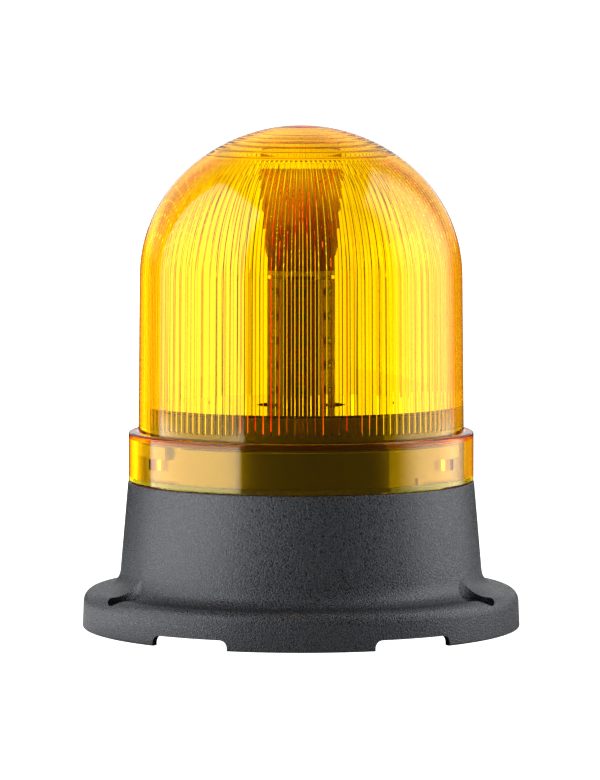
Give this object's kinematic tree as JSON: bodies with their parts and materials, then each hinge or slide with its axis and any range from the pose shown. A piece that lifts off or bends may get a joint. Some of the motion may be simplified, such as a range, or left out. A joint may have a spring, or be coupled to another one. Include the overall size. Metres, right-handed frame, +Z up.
{
  "type": "signal beacon",
  "caption": "Amber signal beacon: fluted dome lens with a twist-off bayonet collar over a light tower, on a round grey screw-down base with rim notches.",
  "frame": {"origin": "centre of the mounting face, on the floor under the base", "axes": "+Z up along the beacon's axis, -Y to the front seen in the picture, +X to its right"},
  "size_m": [0.1598, 0.16, 0.1828],
  "materials": {
    "housing_grey": "fine grained matt moulding",
    "amber_clear": "clear amber polycarbonate, smooth outside and fluted inside",
    "gasket_brown": "soft matt seal",
    "rubber_black": "soft matt",
    "board_green": "satin solder mask",
    "board_black": "satin solder mask",
    "screw_steel": "zinc plated",
    "terminal_plastic": "moulded",
    "can_aluminium": "sleeved can",
    "ferrite": "dull ferrite",
    "chip_black": "moulded epoxy",
    "varistor_blue": "dipped epoxy",
    "tower_black": "black, satin",
    "guide_smoke": "smoked, polished",
    "cover_gloss": "black, polished",
    "led_amber": "cast resin",
    "lead_red": "insulated lead"
  },
  "bodies": {
    "base": {"base_housing": "housing_grey", "cable_grommet": "rubber_black", "lens_gasket": "gasket_brown", "main_board": "board_green", "board_screws": "screw_steel", "terminal_block": "terminal_plastic", "terminal_screws": "screw_steel", "capacitor": "can_aluminium", "inductor": "ferrite", "driver_chip": "chip_black", "rectifier": "chip_black", "varistor": "varistor_blue", "tower_core": "tower_black", "tower_screws": "screw_steel", "top_board": "board_black", "top_leds": "led_amber", "top_screws": "screw_steel", "light_guide": "guide_smoke", "board_cover": "cover_gloss", "supply_leads": "lead_red", "led_board_1": "board_black", "side_leds_1": "led_amber", "led_board_2": "board_black", "side_leds_2": "led_amber", "led_board_3": "board_black", "side_leds_3": "led_amber", "led_board_4": "board_black", "side_leds_4": "led_amber", "led_board_5": "board_black", "side_leds_5": "led_amber", "led_board_6": "board_black", "side_leds_6": "led_amber"},
    "lens": {"lens": "amber_clear"}
  },
  "joints": [
    {"name": "lens_twist", "type": "hinge", "parent": "base", "child": "lens", "pos_m": [0, 0, 0.0535], "axis": [0, 0, 1], "range_deg": [0, 12]}
  ]
}
